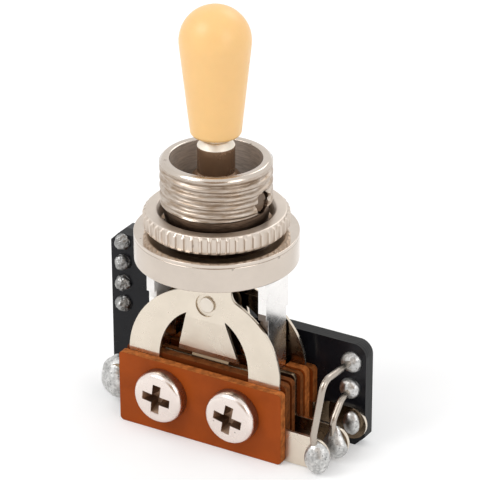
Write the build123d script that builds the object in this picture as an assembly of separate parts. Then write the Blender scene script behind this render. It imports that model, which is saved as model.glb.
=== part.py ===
from build123d import *
import math
import os

# Three-way toggle switch with leaf contacts, in millimetres.
# The origin is the lever's pivot on the bushing's axis. +Z points up the bushing,
# X runs along the pivot pin, and the front contact stack faces -Y.

# Bushing with its flange
thread_r = 6.0
bore_r = 4.9
rim_z = 4.0
rim_chamfer = 0.35
flange_r = 8.85
flange_top_z = -4.76
flange_thickness = 2.83
flange_edge_r = 0.15
relief_r = 5.5
relief_height = 2.36
thread_runout = 0.5
stake_r = 5.6
stake_height = 0.2

# Washer and knurled nut
washer_thickness = 0.4
washer_clearance = 0.1
nut_r = 7.86
nut_height = 2.04
nut_lift = 0.47
nut_teeth = 50
nut_tooth_depth = 0.3
nut_chamfer = 0.4
nut_countersink = 0.35
nut_clearance = 0.03

# Lever, tip, pin and shoe
lever_r = 2.02
lever_shoulder_chamfer = 0.42
lever_ball_r = 3.2
lever_shank_r = 1.5
lever_spigot_r = 0.9
stud_r = 1.4
stud_length = 9.0
stud_clearance = 0.05
stud_end_clearance = 0.5
tip_gap = 0.5
tip_bottom_z = 6.6
tip_length = 14.3
tip_dome_r = 3.87
tip_taper_deg = 7.0
tip_edge_r = 0.5
pin_r = 1.2
pin_recess = 0.6
pin_chamfer = 0.15
pin_running_clearance = 0.06
pin_seat_clearance = 0.03
shoe_half_x = 2.5
shoe_top_z = -7.9
shoe_bottom_z = -11.1
shoe_edge_r = 0.6
shoe_top_chamfer = 0.25
shoe_clearance = 0.12
spigot_clearance = 0.03

# Frame, folded from one strip
frame_sheet = 1.0
frame_disc_r = 6.8
leg_outer_x = 7.45
leg_half_width = 2.4
leg_waist_half_width = 1.95
leg_waist_z = -12.6
leg_bottom_z = -22.0
frame_bend_r = 0.5
frame_seat_clearance = 0.03
notch_clearance = 0.05

# Contact stacks, counted outwards from the middle plane
middle_half_gap = 0.6
inner_plate_thickness = 0.7
fixed_sheet = 0.3
middle_plate_thickness = 1.05
leaf_sheet = 0.35
cover_thickness = 1.0
plate_half_width = 10.0
plate_top_z = -19.55
plate_bottom_z = -28.2
plate_corner_r = 0.6
cover_side_overhang = 0.2
cover_top_setback = 0.41
cover_bottom_overhang = 0.3
cover_corner_r = 0.5

# Spring leaves
leaf_inset = 0.6
arch_height = 8.6
arch_foot_overlap = 0.2
window_half_width = 5.6
window_height = 6.2
window_foot_clearance = 0.2
arch_centre_z = -19.5
leaf_lean_deg = 5.5
neck_half_width = 3.0
neck_top_z = -9.0
neck_corner_r = 0.9
neck_root_r = 1.2
tongue_root_overlap = 0.3
tongue_crease_z = -14.3
tongue_top_half_width = 2.5
tongue_bottom_half_width = 3.6
tongue_bend_z = -18.2
tongue_lean_deg = 6.5
lip_height = 0.6
lip_lean_deg = 15.0
dimple_r = 1.3
dimple_depth = 0.3

# Contact rivets
contact_z = -12.56
rivet_head_r = 0.875
rivet_head_height = 0.22
rivet_shank_r = 0.5
button_r = 0.95
contact_gap = 0.03
rivet_hole_clearance = 0.02

# Fixed contact blades
blade_half_width = 2.3
blade_top_z = -11.6
blade_jog = 0.35
blade_jog_height = 0.7
blade_jog_lift = 0.1
blade_button_height = 0.25
fixed_shoulder_half_width = 5.7
fixed_leg_clearance = 0.6
fixed_inset = 0.7

# Tags, each reaching out from the side of the plates
tag_half_height = 1.9
tag_hole_r = 0.6
tag_root = 1.0
leaf_tag_z = -26.5
leaf_tag_reach = 3.6
ground_tag_z = -26.3
ground_tag_reach = 4.2
rear_tag_z = -25.7
rear_tag_reach = 4.5
rear_tag_run = 1.4
output_tag_z = -25.2
output_tag_reach = 1.9

# Middle layer between the stacks
ground_sheet = 0.5
ground_inset = 0.4

# Screws, sleeves and nuts
screw_x = 4.5
screw_z = -23.7
screw_shank_r = 1.45
screw_hole_clearance = 0.1
screw_head_r = 3.0
screw_head_height = 1.7
screw_head_edge_r = 0.5
screw_end_chamfer = 0.3
recess_length = 3.0
recess_width = 0.9
recess_depth = 1.25
recess_floor_length = 1.8
recess_floor_width = 0.6
recess_turns_deg = [17.0, 9.0]
sleeve_wall = 0.45
sleeve_clearance = 0.05
nut_across_flats = 5.5
clamp_nut_thickness = 1.8
clamp_nut_chamfer = 0.3
clamp_nut_clearance = 0.05
screw_end_over = 0.25

# Connection board
board_thickness = 1.6
board_margin = 6.1
board_top_z = -16.2
board_corner_r = 1.5
board_corner_chamfer = 1.2
tower_top_z = -10.2
tower_half_width = 3.0
tower_chamfer = 1.0

# Header, placed from the board's left edge
header_edge_distance = 1.55
header_top_z = -11.3
header_pitch = 2.54
header_pins = 4
header_depth = 2.5
header_notch = 0.6
header_pin_side = 0.64
header_pin_chamfer = 0.15
header_pin_out = 6.0
header_pin_hole_r = 0.5
header_pin_through = 0.8
header_joint_r = 0.85
header_joint_height = 1.0

# Jumper wires and their joints, placed from the board's right edge
wire_r = 0.375
wire_hole_clearance = 0.12
wire_bend_r = 1.4
wire_end_depth = 0.9
jumper_joint_r = 1.1
jumper_joint_height = 1.05
upper_joint_edge_distance = 1.7
upper_joint_z = -18.4
lower_joint_edge_distance = 1.85
lower_joint_z = -21.6

# Bends of the jumper wires, as offsets (x, z) from their tag or their joint
upper_wire_foot = (0.4, 0.3)
upper_wire_knee = (0.5, 2.8)
upper_wire_knee_out = 0.5
upper_wire_shoulder = (0.2, 0.8)
lower_wire_foot = (0.2, 0.0)
lower_wire_knee = (0.2, -2.0)
lower_wire_shoulder = (0.2, -0.3)
lower_wire_shoulder_in = 0.2

# Solder lumps on the tags: x and z from the tag's centre, radius, half height
front_lump = (0.6, 0.0, 1.25, 1.75)
front_lump_proud = 0.4
ground_lump = (0.2, 0.1, 1.15, 1.85)
rear_lump = (0.3, 0.2, 1.0, 1.35)
output_lump = (-0.4, 0.1, 2.0, 2.5)
lump_roundness = 0.96

# Derived places
flange_bottom_z = flange_top_z - flange_thickness
nut_bottom_z = flange_top_z + washer_thickness + nut_lift
inner_depth = middle_half_gap
fixed_depth = inner_depth + inner_plate_thickness
middle_depth = fixed_depth + fixed_sheet
leaf_depth = middle_depth + middle_plate_thickness
cover_depth = leaf_depth + leaf_sheet
stack_depth = cover_depth + cover_thickness
board_back = stack_depth + board_thickness
leg_inner_x = leg_outer_x - frame_sheet
sleeve_inner_r = screw_shank_r + screw_hole_clearance
sleeve_outer_r = sleeve_inner_r + sleeve_wall
lean = math.radians(leaf_lean_deg)
leaf_middle = leaf_depth + leaf_sheet / 2
cover_half_width = plate_half_width + cover_side_overhang
cover_top_z = plate_top_z - cover_top_setback
cover_bottom_z = plate_bottom_z - cover_bottom_overhang
arch_half_width = plate_half_width - leaf_inset
fixed_half_width = plate_half_width - fixed_inset
ground_half_width = plate_half_width - ground_inset
leaf_tag_x = plate_half_width + leaf_tag_reach
ground_tag_x = plate_half_width + ground_tag_reach
rear_tag_x = plate_half_width + rear_tag_reach
output_tag_x = -plate_half_width - output_tag_reach
board_half_width = plate_half_width + board_margin
header_x = header_edge_distance - board_half_width
upper_joint_x = board_half_width - upper_joint_edge_distance
lower_joint_x = board_half_width - lower_joint_edge_distance


def leaf_middle_depth(z):
    """Depth of the leaf's middle plane at a height: it leans inwards above the plates."""
    return leaf_middle - max(z - plate_top_z, 0) * math.tan(lean)


def leaf_inner_depth(z):
    """Depth of the leaning leaf's inner face at a height."""
    return leaf_middle_depth(z) - leaf_sheet / 2 / math.cos(lean)


def sheet(outline, depth, thickness):
    """A flat sheet on the front side, its inner face at the given depth."""
    return extrude(Plane.XZ.offset(depth) * outline, amount=thickness)


def strip(points, thickness, half_width, bend_r):
    """A strip bent along points given as (depth, z), extruded along X on the front side."""
    path = FilletPolyline(*points, radius=bend_r) if len(points) > 2 else Polyline(*points)
    section = make_face(offset(path, amount=thickness / 2, side=Side.BOTH, kind=Kind.INTERSECTION))
    side_plane = Plane(origin=(0, 0, 0), x_dir=(0, -1, 0), z_dir=(-1, 0, 0))
    return extrude(side_plane * section, amount=half_width, both=True)


def rectangle(left, right, bottom, top):
    return Pos((left + right) / 2, (bottom + top) / 2) * Rectangle(right - left, top - bottom)


def rounded(left, right, bottom, top, corner_r):
    centre = Pos((left + right) / 2, (bottom + top) / 2)
    return centre * RectangleRounded(right - left, top - bottom, corner_r)


def screw_holes(radius):
    return Sketch() + [Pos(x, screw_z) * Circle(radius) for x in (-screw_x, screw_x)]


def leg_notches():
    """Open slots that the frame's legs stand in."""
    low = leg_bottom_z - notch_clearance
    left = leg_inner_x - notch_clearance
    right = leg_outer_x + notch_clearance
    slot = rectangle(left, right, low, plate_top_z + frame_sheet)
    return slot + mirror(slot, about=Plane.YZ)


def tag(centre_x, root_x, z):
    """A terminal tag: a straight strip with a round end and a hole."""
    low, high = sorted((root_x, centre_x))
    shape = rectangle(low, high, z - tag_half_height, z + tag_half_height)
    shape += Pos(centre_x, z) * Circle(tag_half_height)
    return shape - Pos(centre_x, z) * Circle(tag_hole_r)


def rod(radius, start, end):
    """A round rod along Y between two depths behind the front."""
    return Plane.XZ.offset(-start) * extrude(Circle(radius), amount=start - end)


def to_rear(part):
    return mirror(part, about=Plane.XZ)


# --- Tip, lever, shoe and pin ---

def make_tip():
    taper = math.radians(tip_taper_deg)
    top_z = tip_bottom_z + tip_length
    dome_z = top_z - tip_dome_r
    tangent = (tip_dome_r * math.cos(taper), dome_z - tip_dome_r * math.sin(taper))
    bottom_r = tangent[0] - (tangent[1] - tip_bottom_z) * math.tan(taper)
    middle_angle = (math.pi / 2 - taper) / 2
    middle = (tip_dome_r * math.cos(middle_angle), dome_z + tip_dome_r * math.sin(middle_angle))
    profile = Line((0, tip_bottom_z), (bottom_r, tip_bottom_z))
    profile += Line((bottom_r, tip_bottom_z), tangent)
    profile += ThreePointArc(tangent, middle, (0, top_z))
    profile += Line((0, top_z), (0, tip_bottom_z))
    body = revolve(Plane.XZ * make_face(profile), Axis.Z)
    rim = body.edges().group_by(Axis.Z)[0]
    body = fillet(rim, tip_edge_r)
    bore_length = stud_length + stud_end_clearance
    bore = Cylinder(stud_r + stud_clearance, bore_length, align=(Align.CENTER, Align.CENTER, Align.MIN))
    return body - Pos(0, 0, tip_bottom_z - tip_gap) * bore


def make_lever():
    shoulder_z = tip_bottom_z - tip_gap
    shoulder_r = lever_r - lever_shoulder_chamfer
    profile = Polyline(
        (0, shoe_bottom_z + shoe_edge_r), (lever_spigot_r, shoe_bottom_z + shoe_edge_r),
        (lever_spigot_r, shoe_top_z), (lever_shank_r, shoe_top_z), (lever_shank_r, 0),
        (lever_r, 0), (lever_r, shoulder_z - 2 * lever_shoulder_chamfer), (shoulder_r, shoulder_z),
        (stud_r, shoulder_z), (stud_r, shoulder_z + stud_length), (0, shoulder_z + stud_length),
        close=True,
    )
    body = revolve(Plane.XZ * make_face(profile), Axis.Z) + Sphere(lever_ball_r)
    bore = Rot(0, 90, 0) * Cylinder(pin_r + pin_running_clearance, 4 * lever_ball_r)
    return body - bore


def make_shoe():
    half_y = leaf_inner_depth(neck_top_z) - shoe_clearance
    height = shoe_top_z - shoe_bottom_z
    block = Pos(0, 0, (shoe_top_z + shoe_bottom_z) / 2) * Box(2 * shoe_half_x, 2 * half_y, height)
    low_edges = block.faces().sort_by(Axis.Z)[0].edges().filter_by(Axis.X)
    block = fillet(low_edges, shoe_edge_r)
    block = chamfer(block.faces().sort_by(Axis.Z)[-1].edges(), shoe_top_chamfer)
    socket_z = shoe_bottom_z + shoe_edge_r - spigot_clearance
    socket_r = lever_spigot_r + spigot_clearance
    socket = Cylinder(socket_r, height, align=(Align.CENTER, Align.CENTER, Align.MIN))
    return block - Pos(0, 0, socket_z) * socket


def make_pin():
    pin = Rot(0, 90, 0) * Cylinder(pin_r, 2 * (thread_r - pin_recess))
    return chamfer(pin.edges().filter_by(GeomType.CIRCLE), pin_chamfer)


# --- Bushing, washer and nut ---

def make_bushing():
    stake_bottom_z = flange_bottom_z - frame_sheet - stake_height
    relief_top_z = flange_top_z + relief_height
    profile = Polyline(
        (bore_r, stake_bottom_z), (stake_r, stake_bottom_z), (stake_r, flange_bottom_z),
        (flange_r, flange_bottom_z), (flange_r, flange_top_z), (relief_r, flange_top_z),
        (relief_r, relief_top_z), (thread_r, relief_top_z + thread_runout), (thread_r, rim_z - rim_chamfer),
        (thread_r - rim_chamfer, rim_z), (bore_r + rim_chamfer, rim_z), (bore_r, rim_z - rim_chamfer),
        close=True,
    )
    body = revolve(Plane.YZ * make_face(profile), Axis.Z)
    rims = body.edges().filter_by(GeomType.CIRCLE).filter_by(lambda e: abs(e.radius - flange_r) < 1e-6)
    body = fillet(rims, flange_edge_r)
    return body - Rot(0, 90, 0) * Cylinder(pin_r + pin_seat_clearance, 4 * thread_r)


def make_washer():
    ring = Cylinder(flange_r, washer_thickness) - Cylinder(thread_r + washer_clearance, 2 * washer_thickness)
    return Pos(0, 0, flange_top_z + washer_thickness / 2) * ring


def make_knurled_nut():
    pitch = 2 * math.pi / nut_teeth
    root_r = nut_r - nut_tooth_depth
    corners = []
    for tooth in range(nut_teeth):
        for share, radius in ((-0.5, root_r), (-0.2, nut_r), (0.2, nut_r)):
            angle = (tooth + share) * pitch
            corners.append((radius * math.cos(angle), radius * math.sin(angle)))
    toothed = extrude(make_face(Polyline(*corners, close=True)), amount=nut_height)
    bore = thread_r + nut_clearance
    section = Polyline(
        (bore, nut_countersink), (bore + nut_countersink, 0), (nut_r - nut_chamfer, 0), (nut_r, nut_chamfer),
        (nut_r, nut_height - nut_chamfer), (nut_r - nut_chamfer, nut_height),
        (bore + nut_countersink, nut_height), (bore, nut_height - nut_countersink),
        close=True,
    )
    blank = revolve(Plane.XZ * make_face(section), Axis.Z)
    return Pos(0, 0, nut_bottom_z) * (toothed & blank)


# --- Frame ---

def make_frame():
    top = flange_bottom_z
    inside = top - frame_sheet
    outer = rectangle(-leg_outer_x, leg_outer_x, leg_bottom_z, top)
    outer = fillet(outer.vertices().group_by(Axis.Y)[-1], frame_sheet + frame_bend_r)
    inner = rectangle(-leg_inner_x, leg_inner_x, leg_bottom_z - frame_sheet, inside)
    inner = fillet(inner.vertices().group_by(Axis.Y)[-1], frame_bend_r)
    folded = extrude(Plane.XZ * (outer - inner), amount=frame_disc_r, both=True)
    plan = Circle(frame_disc_r) + Rectangle(2 * leg_outer_x, 2 * leg_half_width)
    folded &= Pos(0, 0, leg_bottom_z) * extrude(plan, amount=top - leg_bottom_z)
    side = rectangle(-frame_disc_r, frame_disc_r, leg_waist_z, top)
    side += rectangle(-leg_waist_half_width, leg_waist_half_width, leg_bottom_z, leg_waist_z)
    folded &= extrude(Plane.YZ * side, amount=2 * leg_outer_x, both=True)
    return folded - Pos(0, 0, top) * Cylinder(stake_r + frame_seat_clearance, 4 * frame_sheet)


# --- Fibre plates ---

def make_plate(depth, thickness):
    outline = rounded(-plate_half_width, plate_half_width, plate_bottom_z, plate_top_z, plate_corner_r)
    outline -= screw_holes(sleeve_outer_r + sleeve_clearance)
    return sheet(outline - leg_notches(), depth, thickness)


def make_cover():
    outline = rounded(-cover_half_width, cover_half_width, cover_bottom_z, cover_top_z, cover_corner_r)
    plate = sheet(outline - screw_holes(sleeve_inner_r), cover_depth, cover_thickness)
    return plate


# --- Spring leaves and their contacts ---

def arch_outline():
    foot_z = cover_top_z - arch_foot_overlap
    above = rectangle(-arch_half_width, arch_half_width, foot_z, neck_top_z)
    outer = Pos(0, arch_centre_z) * Ellipse(arch_half_width, arch_height) & above
    hub_z = arch_centre_z + (arch_height + window_height) / 2
    neck = rectangle(-neck_half_width, neck_half_width, hub_z, neck_top_z)
    outline = outer + fillet(neck.vertices().group_by(Axis.Y)[-1], neck_corner_r)
    corner_z = arch_centre_z + arch_height * math.sqrt(1 - (neck_half_width / arch_half_width) ** 2)
    roots = outline.vertices().filter_by(lambda v: abs(v.Y - corner_z) < 0.01)
    outline = fillet(roots, neck_root_r)
    window = Pos(0, arch_centre_z) * Ellipse(window_half_width, window_height) & above
    return outline - window


def tongue_half_width(z):
    share = (tongue_crease_z - z) / (tongue_crease_z - tongue_bend_z)
    return tongue_top_half_width + share * (tongue_bottom_half_width - tongue_top_half_width)


def make_tongue():
    """The tongue hangs from the hub, leans inwards and ends in a lip."""
    root_z = arch_centre_z + window_height + tongue_root_overlap
    end_z = tongue_bend_z - lip_height
    crease_depth = leaf_middle_depth(tongue_crease_z)
    root_depth = leaf_middle_depth(root_z)
    bend_depth = crease_depth - (tongue_crease_z - tongue_bend_z) * math.tan(math.radians(tongue_lean_deg))
    end_depth = bend_depth - lip_height * math.tan(math.radians(lip_lean_deg))
    points = [(root_depth, root_z), (crease_depth, tongue_crease_z)]
    points += [(bend_depth, tongue_bend_z), (end_depth, end_z)]
    band = strip(points, leaf_sheet, plate_half_width, 2 * leaf_sheet)
    low = end_z - leaf_sheet
    high = root_z + leaf_sheet
    corners = [(-tongue_half_width(low), low), (tongue_half_width(low), low)]
    corners += [(tongue_half_width(high), high), (-tongue_half_width(high), high)]
    return band & sheet(make_face(Polyline(*corners, close=True)), 0, stack_depth)


def leaf_frame():
    """The place and tilt of the contact on the leaf's middle plane."""
    return Pos(0, -leaf_middle_depth(contact_z), contact_z) * Rot(-leaf_lean_deg, 0, 0)


def turned(radius, inner, outer):
    """A disc across the leaf, from one distance to another outwards from its middle plane."""
    return Plane.XZ.offset(inner) * extrude(Circle(radius), amount=outer - inner)


def make_leaf(base_outline):
    points = [(leaf_middle_depth(z), z) for z in (plate_bottom_z, plate_top_z, neck_top_z)]
    slope = strip(points, leaf_sheet, plate_half_width, leaf_sheet)
    arch = slope & sheet(arch_outline(), 0, stack_depth)
    leaf = base_outline + arch + make_tongue()
    half = leaf_sheet / 2
    place = leaf_frame()
    leaf += place * turned(dimple_r + leaf_sheet, -half - dimple_depth, 0)
    leaf -= place * turned(dimple_r, half - dimple_depth, 3 * half)
    return leaf - place * turned(rivet_shank_r + rivet_hole_clearance, -4 * half, 4 * half)


def leaf_base(with_tag):
    outline = rounded(-arch_half_width, arch_half_width, plate_bottom_z, cover_top_z, plate_corner_r)
    outline += rectangle(-arch_half_width, arch_half_width, screw_z, cover_top_z)
    window_foot_z = screw_z + screw_head_r + window_foot_clearance
    window = rectangle(-window_half_width, window_half_width, window_foot_z, cover_top_z)
    outline -= screw_holes(sleeve_outer_r + sleeve_clearance) + window
    if with_tag:
        outline += tag(leaf_tag_x, arch_half_width - tag_root, leaf_tag_z)
    return sheet(outline, leaf_depth, leaf_sheet)


def rear_tag():
    """The rear leaf's tag steps out behind the stack to lie on the board."""
    middle = leaf_depth + leaf_sheet / 2
    out = stack_depth - leaf_sheet / 2
    step_x = cover_half_width + notch_clearance + leaf_sheet / 2
    path = FilletPolyline(
        (arch_half_width - tag_root, middle), (step_x, middle), (step_x + rear_tag_run, out),
        (rear_tag_x + tag_half_height, out), radius=leaf_sheet)
    section = make_face(offset(path, amount=leaf_sheet / 2, side=Side.BOTH, kind=Kind.INTERSECTION))
    band = extrude(Pos(0, 0, rear_tag_z - tag_half_height) * section, amount=2 * tag_half_height)
    outline = tag(rear_tag_x, arch_half_width - tag_root, rear_tag_z)
    return band & to_rear(sheet(outline, 0, stack_depth))


def make_leaf_contact():
    """Rivet in the leaf: its head outside, its contact button inside."""
    half = leaf_sheet / 2
    floor = half - dimple_depth
    blade_face = fixed_depth - blade_jog + fixed_sheet + blade_button_height
    reach = leaf_middle_depth(contact_z) - blade_face - contact_gap - button_r * math.tan(lean)
    head = turned(rivet_head_r, floor, floor + rivet_head_height)
    head = fillet(head.edges().group_by(Axis.Y)[0], rivet_head_height / 2)
    shank = turned(rivet_shank_r, -half - dimple_depth, floor)
    button = turned(button_r, -reach * math.cos(lean), -half - dimple_depth)
    return leaf_frame() * (head + shank + button)


# --- Fixed contacts ---

def make_fixed_contact():
    low = fixed_depth + fixed_sheet / 2
    high = low - blade_jog
    jog_z = plate_top_z + blade_jog_lift
    band = strip(
        [(low, plate_bottom_z), (low, jog_z), (high, jog_z + blade_jog_height), (high, blade_top_z)],
        fixed_sheet, 2 * plate_half_width, fixed_sheet)
    shoulder_z = leg_bottom_z - fixed_leg_clearance
    blade = rounded(-blade_half_width, blade_half_width, shoulder_z, blade_top_z, blade_half_width / 2)
    shoulder = rectangle(-fixed_shoulder_half_width, fixed_shoulder_half_width, screw_z, plate_top_z)
    body = rounded(-fixed_half_width, fixed_half_width, plate_bottom_z, shoulder_z, plate_corner_r)
    outline = blade + shoulder + body - screw_holes(sleeve_outer_r + sleeve_clearance)
    outline += tag(output_tag_x, tag_root - fixed_half_width, output_tag_z)
    outline -= Pos(0, contact_z) * Circle(rivet_shank_r + rivet_hole_clearance)
    return band & sheet(outline, 0, stack_depth)


def make_fixed_rivet():
    face = fixed_depth - blade_jog + fixed_sheet
    button = sheet(Pos(0, contact_z) * Circle(button_r), face, blade_button_height)
    shank = sheet(Pos(0, contact_z) * Circle(rivet_shank_r), face - fixed_sheet, fixed_sheet)
    tail_height = min(rivet_head_height, (face - fixed_sheet) / 2)
    tail = sheet(Pos(0, contact_z) * Circle(rivet_head_r), face - fixed_sheet - tail_height, tail_height)
    return button + shank + tail


# --- Middle layer ---

def make_spacer():
    outline = rectangle(-leg_inner_x, leg_inner_x, plate_bottom_z, plate_top_z)
    outline -= screw_holes(sleeve_outer_r + sleeve_clearance)
    return sheet(outline, ground_sheet - middle_half_gap, 2 * middle_half_gap - ground_sheet)


def make_ground_plate():
    outline = rounded(-ground_half_width, ground_half_width, plate_bottom_z, plate_top_z, plate_corner_r)
    outline -= screw_holes(sleeve_outer_r + sleeve_clearance)
    outline -= leg_notches()
    outline += tag(ground_tag_x, ground_half_width - tag_root, ground_tag_z)
    return sheet(outline, -middle_half_gap, ground_sheet)


# --- Screws, sleeves and nuts ---

def make_screw(x, turn_deg):
    length = board_back + clamp_nut_thickness + screw_end_over + stack_depth
    head = Cylinder(screw_head_r, screw_head_height, align=(Align.CENTER, Align.CENTER, Align.MIN))
    head = fillet(head.edges().group_by(Axis.Z)[-1], screw_head_edge_r)
    shank = Cylinder(screw_shank_r, length, align=(Align.CENTER, Align.CENTER, Align.MAX))
    shank = chamfer(shank.edges().group_by(Axis.Z)[0], screw_end_chamfer)
    mouth = Rectangle(recess_length, recess_width)
    floor = Pos(0, 0, -recess_depth) * Rectangle(recess_floor_length, recess_floor_width)
    wings = loft([mouth, floor], ruled=True)
    recess = wings + Rot(0, 0, 90) * wings
    screw = head + shank - Pos(0, 0, screw_head_height) * Rot(0, 0, turn_deg) * recess
    return Pos(x, -stack_depth, screw_z) * Rot(90, 0, 0) * screw


def make_sleeve(x):
    ring = Circle(sleeve_outer_r) - Circle(sleeve_inner_r)
    return Pos(x, 0, screw_z) * extrude(Plane.XZ * ring, amount=cover_depth, both=True)


def make_clamp_nut(x):
    hexagon = RegularPolygon(nut_across_flats / 2, 6, major_radius=False)
    body = extrude(hexagon, amount=clamp_nut_thickness)
    corner_r = nut_across_flats / math.sqrt(3)
    cone = Cylinder(corner_r, clamp_nut_thickness, align=(Align.CENTER, Align.CENTER, Align.MIN))
    body &= chamfer(cone.edges().group_by(Axis.Z)[-1], clamp_nut_chamfer)
    body -= Cylinder(screw_shank_r + clamp_nut_clearance, 4 * clamp_nut_thickness)
    return Pos(x, board_back, screw_z) * Rot(-90, 0, 0) * body


# --- Board, header and solder ---

def header_places():
    return [header_top_z - i * header_pitch for i in range(header_pins)]


def wire_places():
    return [(upper_joint_x, upper_joint_z), (lower_joint_x, lower_joint_z)]


def make_board():
    tower_right_x = header_x + tower_half_width
    outline = rectangle(-board_half_width, board_half_width, cover_bottom_z, board_top_z)
    outline = fillet(outline.vertices().group_by(Axis.Y)[-1].sort_by(Axis.X)[-1:], board_corner_r)
    outline = chamfer(outline.vertices().group_by(Axis.Y)[0].sort_by(Axis.X)[-1:], board_corner_chamfer)
    tower = rectangle(-board_half_width, tower_right_x, board_top_z - tower_chamfer, tower_top_z)
    outline += chamfer(tower.vertices().group_by(Axis.Y)[-1], tower_chamfer)
    outline -= screw_holes(sleeve_inner_r)
    outline -= [Pos(header_x, z) * Circle(header_pin_hole_r) for z in header_places()]
    outline -= [Pos(x, z) * Circle(wire_r + wire_hole_clearance) for x, z in wire_places()]
    return sheet(outline, -board_back, board_thickness)


def make_header_housing():
    height = header_pins * header_pitch
    middle_z = header_top_z - (header_pins - 1) * header_pitch / 2
    outline = rectangle(-header_pitch / 2, header_pitch / 2, -height / 2, height / 2)
    notch = Pos(header_pitch / 2) * Rot(0, 0, 45) * Rectangle(header_notch, header_notch)
    notches = notch + Rot(0, 0, 180) * notch
    outline -= [Pos(0, height / 2 - i * header_pitch) * notches for i in range(header_pins + 1)]
    outline -= [Pos(0, z - middle_z) * Rectangle(header_pin_side, header_pin_side) for z in header_places()]
    return sheet(Pos(header_x, middle_z) * outline, -board_back - header_depth, header_depth)


def make_header_pin(z):
    start = -board_back - header_depth - header_pin_out
    length = header_pin_through - stack_depth - start
    pin = sheet(Pos(header_x, z) * Rectangle(header_pin_side, header_pin_side), start, length)
    return chamfer(pin.faces().sort_by(Axis.Y)[-1].edges(), header_pin_chamfer)


def dome(x, z, radius, height):
    """A round solder joint on the board's front face, a cap of a sphere."""
    sphere_r = (radius ** 2 + height ** 2) / (2 * height)
    ball = Pos(x, stack_depth - height + sphere_r, z) * Sphere(sphere_r)
    board_side = Pos(x, stack_depth + 2 * sphere_r, z) * Box(4 * sphere_r, 4 * sphere_r, 4 * sphere_r)
    return ball - board_side


def lump(sizes, tag_x, y, tag_z):
    """An upright lump of solder on a tag, round at both ends."""
    x, z, radius, half_height = sizes
    body = Cylinder(radius, 2 * half_height)
    body = fillet(body.edges().filter_by(GeomType.CIRCLE), radius * lump_roundness)
    return Pos(tag_x + x, y, tag_z + z) * body


def make_wire(points):
    path = FilletPolyline(*points, radius=wire_bend_r)
    start = path @ 0
    direction = path % 0
    return sweep(Plane(origin=start, z_dir=direction) * Circle(wire_r), path=path)


def jumper_routes():
    board_end = stack_depth + wire_end_depth
    front = -cover_depth - wire_r
    ground = middle_half_gap - ground_sheet - wire_r

    def at(x, z, offset, y):
        return (x + offset[0], y, z + offset[1])

    upper = [
        at(leaf_tag_x, leaf_tag_z, upper_wire_foot, front),
        at(leaf_tag_x, leaf_tag_z, upper_wire_knee, front - upper_wire_knee_out),
        at(upper_joint_x, upper_joint_z, upper_wire_shoulder, -leaf_depth),
        (upper_joint_x, board_end, upper_joint_z),
    ]
    lower = [
        at(ground_tag_x, ground_tag_z, lower_wire_foot, ground),
        at(lower_joint_x, lower_joint_z, lower_wire_knee, ground),
        at(lower_joint_x, lower_joint_z, lower_wire_shoulder, fixed_depth + lower_wire_shoulder_in),
        (lower_joint_x, board_end, lower_joint_z),
    ]
    return [upper, lower]


# --- Assembly ---

parts = {}
parts["toggle_tip"] = make_tip()
parts["lever"] = make_lever()
parts["lever_shoe"] = make_shoe()
parts["pivot_pin"] = make_pin()
parts["bushing"] = make_bushing()
parts["flange_washer"] = make_washer()
parts["knurled_nut"] = make_knurled_nut()
parts["frame"] = make_frame()

parts["front_cover_plate"] = make_cover()
parts["rear_cover_plate"] = to_rear(make_cover())
parts["front_middle_plate"] = make_plate(middle_depth, middle_plate_thickness)
parts["rear_middle_plate"] = to_rear(parts["front_middle_plate"])
parts["front_inner_plate"] = make_plate(inner_depth, inner_plate_thickness)
parts["rear_inner_plate"] = to_rear(parts["front_inner_plate"])

parts["front_spring_leaf"] = make_leaf(leaf_base(True))
parts["rear_spring_leaf"] = to_rear(make_leaf(leaf_base(False))) + rear_tag()
parts["front_leaf_contact"] = make_leaf_contact()
parts["rear_leaf_contact"] = to_rear(parts["front_leaf_contact"])
parts["front_fixed_contact"] = make_fixed_contact()
parts["rear_fixed_contact"] = to_rear(parts["front_fixed_contact"])
parts["front_fixed_rivet"] = make_fixed_rivet()
parts["rear_fixed_rivet"] = to_rear(parts["front_fixed_rivet"])

parts["centre_spacer"] = make_spacer()
parts["ground_plate"] = make_ground_plate()
parts["screw_sleeves"] = Compound(children=[make_sleeve(x) for x in (-screw_x, screw_x)])
screws = [make_screw(x, turn) for x, turn in zip((-screw_x, screw_x), recess_turns_deg)]
parts["clamp_screws"] = Compound(children=screws)
parts["clamp_nuts"] = Compound(children=[make_clamp_nut(x) for x in (-screw_x, screw_x)])

parts["circuit_board"] = make_board()
parts["header_housing"] = make_header_housing()
pins = [make_header_pin(z) for z in header_places()]
parts["header_pins"] = Compound(children=pins)
wires = [make_wire(route) for route in jumper_routes()]
parts["jumper_wires"] = Compound(children=wires)

header_joints = [dome(header_x, z, header_joint_r, header_joint_height) for z in header_places()]
parts["header_solder"] = Compound(children=[joint - pin for joint, pin in zip(header_joints, pins)])
jumper_joints = [dome(x, z, jumper_joint_r, jumper_joint_height) for x, z in wire_places()]
parts["jumper_solder"] = Compound(children=[joint - wire for joint, wire in zip(jumper_joints, wires)])

front_joint = lump(front_lump, leaf_tag_x, -cover_depth - front_lump_proud, leaf_tag_z)
parts["front_tag_solder"] = front_joint - parts["front_spring_leaf"] - wires[0]
ground_joint = lump(ground_lump, ground_tag_x, 0, ground_tag_z)
parts["ground_tag_solder"] = ground_joint - parts["ground_plate"] - wires[1]
rear_joint = lump(rear_lump, rear_tag_x, stack_depth - leaf_sheet, rear_tag_z)
parts["rear_tag_solder"] = rear_joint - parts["rear_spring_leaf"] - parts["circuit_board"]
output_joint = lump(output_lump, output_tag_x, 0, output_tag_z)
output_joint -= parts["front_fixed_contact"] + parts["rear_fixed_contact"]
parts["output_tag_solder"] = output_joint

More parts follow.
